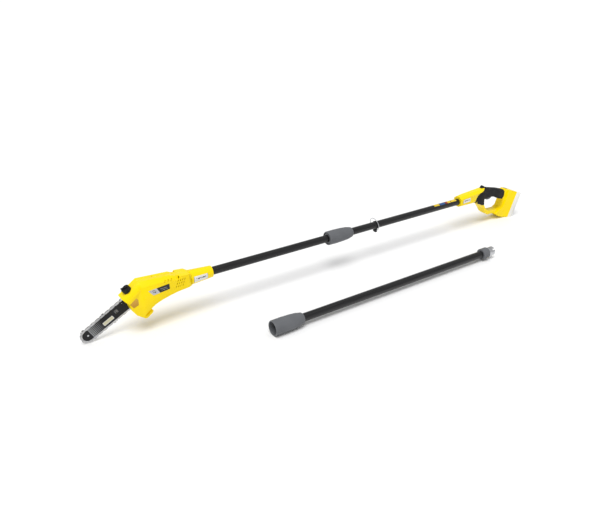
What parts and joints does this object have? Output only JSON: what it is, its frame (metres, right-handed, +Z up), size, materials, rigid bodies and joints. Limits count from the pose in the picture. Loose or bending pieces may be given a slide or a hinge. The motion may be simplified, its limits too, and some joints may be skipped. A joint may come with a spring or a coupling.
{
  "type": "sectional pole saw with extension tube",
  "caption": "Cordless sectional pole saw with a black tube, yellow head and D-handle, and a separate extension tube lying beside it.",
  "frame": {"origin": "on the floor, in the middle of the set's bounding box", "axes": "+X along the pole from the chain to the battery dock, +Y away from the extension tube, +Z up"},
  "size_m": [2.0572, 0.3416, 0.1793],
  "materials": {
    "yellow_shell": "moulded, polished",
    "black_tube": "black anodised drawn tube",
    "grey_nylon": "moulded glass-filled nylon",
    "light_plastic": "moulded",
    "silver_plug": "die cast, satin",
    "black_plastic": "moulded",
    "soft_rubber": "overmoulded elastomer",
    "bar_steel": "black printed over ground steel",
    "chain_steel": "bright plated and ground",
    "steel": "turned and zinc plated",
    "cast_alloy": "die cast",
    "copper": "enamelled copper and laminations",
    "amber": "translucent moulded plastic",
    "milky_tank": "blow moulded",
    "sticker": "printed film",
    "tube_sticker": "printed film",
    "board": "lacquered circuit board",
    "cable": "coiled lead in a sleeve"
  },
  "bodies": {
    "rear_section": {"rear_tube": "black_tube", "rear_receiver": "black_plastic", "rear_cable": "cable", "strap_clamp": "black_plastic", "clamp_knob": "black_plastic", "tube_stickers": "tube_sticker", "handle_shell_near": "yellow_shell", "handle_shell_far": "yellow_shell", "soft_grip": "soft_rubber", "trigger_pin": "steel", "trigger_switch": "black_plastic", "control_board": "board", "terminal_block": "black_plastic", "dock_plate": "light_plastic", "handle_screws": "steel", "handle_badge": "sticker"},
    "coupling_nut": {"coupling_sleeve": "grey_nylon"},
    "front_section": {"head_shell_near": "yellow_shell", "head_shell_far": "yellow_shell", "sprocket_cover": "yellow_shell", "bar_stud": "steel", "saw_chain": "chain_steel", "shaft_bearings": "steel", "gear_case": "cast_alloy", "motor_can": "steel", "brush_holder": "black_plastic", "oil_tank": "milky_tank", "oil_window": "amber", "oil_pump": "black_plastic", "oil_hose": "cable", "branch_hook": "yellow_shell", "head_screws": "steel", "head_label": "sticker", "head_badge": "sticker", "front_tube": "black_tube", "front_collar": "grey_nylon", "front_plug": "silver_plug", "front_cable": "cable"},
    "bar": {"guide_bar": "bar_steel", "tension_block": "steel"},
    "screw": {"tension_screw": "steel"},
    "nose_wheel": {"nose_sprocket": "steel"},
    "output": {"output_shaft": "steel", "crown_gear": "steel", "drive_sprocket": "steel"},
    "rotor": {"motor_rotor": "copper", "motor_pinion": "steel", "cooling_fan": "black_plastic"},
    "nut": {"bar_nut": "steel"},
    "cap": {"oil_cap": "black_plastic"},
    "trigger": {"trigger": "grey_nylon"},
    "button": {"lock_button": "black_plastic"},
    "ring": {"strap_ring": "steel"},
    "extension": {"extension_tube": "black_tube", "extension_collar": "grey_nylon", "extension_plug": "silver_plug", "extension_receiver": "black_plastic", "extension_cable": "cable"},
    "extension_nut": {"extension_sleeve": "grey_nylon"}
  },
  "joints": [
    {"name": "coupling_turn", "type": "hinge", "parent": "rear_section", "child": "coupling_nut", "pos_m": [-0.082, 0.13075, 0.134], "axis": [1, 0, 0], "range_deg": [0, 720]},
    {"name": "section_slide", "type": "slide", "parent": "rear_section", "child": "front_section", "axis": [-1, 0, 0], "range_m": [0, 0.068]},
    {"name": "bar_tension", "type": "slide", "parent": "front_section", "child": "bar", "axis": [0.8754, 0, 0.4833], "range_m": [0, 0.005]},
    {"name": "tension_screw_turn", "type": "hinge", "parent": "front_section", "child": "screw", "pos_m": [-0.8087, 0.14325, 0.11962], "axis": [0.8754, 0, 0.4833], "range_deg": [0, 2250]},
    {"name": "output_spin", "type": "hinge", "parent": "front_section", "child": "output", "pos_m": [-0.81498, 0.13075, 0.131], "axis": [0, 1, 0], "continuous": true},
    {"name": "rotor_spin", "type": "hinge", "parent": "front_section", "child": "rotor", "pos_m": [-0.74298, 0.12075, 0.131], "axis": [1, 0, 0], "continuous": true},
    {"name": "nose_spin", "type": "hinge", "parent": "bar", "child": "nose_wheel", "pos_m": [-1.00258, 0.13675, 0.02742], "axis": [0, 1, 0], "continuous": true},
    {"name": "bar_nut_turn", "type": "hinge", "parent": "front_section", "child": "nut", "pos_m": [-0.85525, 0.13675, 0.10877], "axis": [0, 1, 0], "range_deg": [0, 720]},
    {"name": "oil_cap_turn", "type": "hinge", "parent": "front_section", "child": "cap", "pos_m": [-0.86448, 0.12275, 0.1514], "axis": [-0.5825, 0, 0.8128], "range_deg": [0, 360]},
    {"name": "trigger_pull", "type": "hinge", "parent": "rear_section", "child": "trigger", "pos_m": [0.871, 0.13075, 0.13], "axis": [0, 1, 0], "range_deg": [0, 5], "stiffness_Nm_per_rad": 1.5, "springref_deg": -5.73},
    {"name": "button_press", "type": "slide", "parent": "rear_section", "child": "button", "axis": [0, 0, -1], "range_m": [0, 0.004], "stiffness_N_per_m": 600, "springref_m": -0.003},
    {"name": "ring_swing", "type": "hinge", "parent": "rear_section", "child": "ring", "pos_m": [0.162, 0.13075, 0.1127], "axis": [0, 1, 0], "range_deg": [-27, 57]},
    {"name": "extension_lift", "type": "slide", "parent": "rear_section", "child": "extension", "axis": [0, 0, 1], "range_m": [0, 0.3]},
    {"name": "extension_sleeve_turn", "type": "hinge", "parent": "extension", "child": "extension_nut", "pos_m": [-0.5, -0.14425, 0.0265], "axis": [1, 0, 0], "range_deg": [0, 720]}
  ],
  "couplings": [
    {"joint": "rotor_spin", "follows": "output_spin", "ratio": -4},
    {"joint": "nose_spin", "follows": "output_spin", "ratio": 1.1429},
    {"joint": "tension_screw_turn", "follows": "bar_tension", "rad_per_m": 7854}
  ]
}
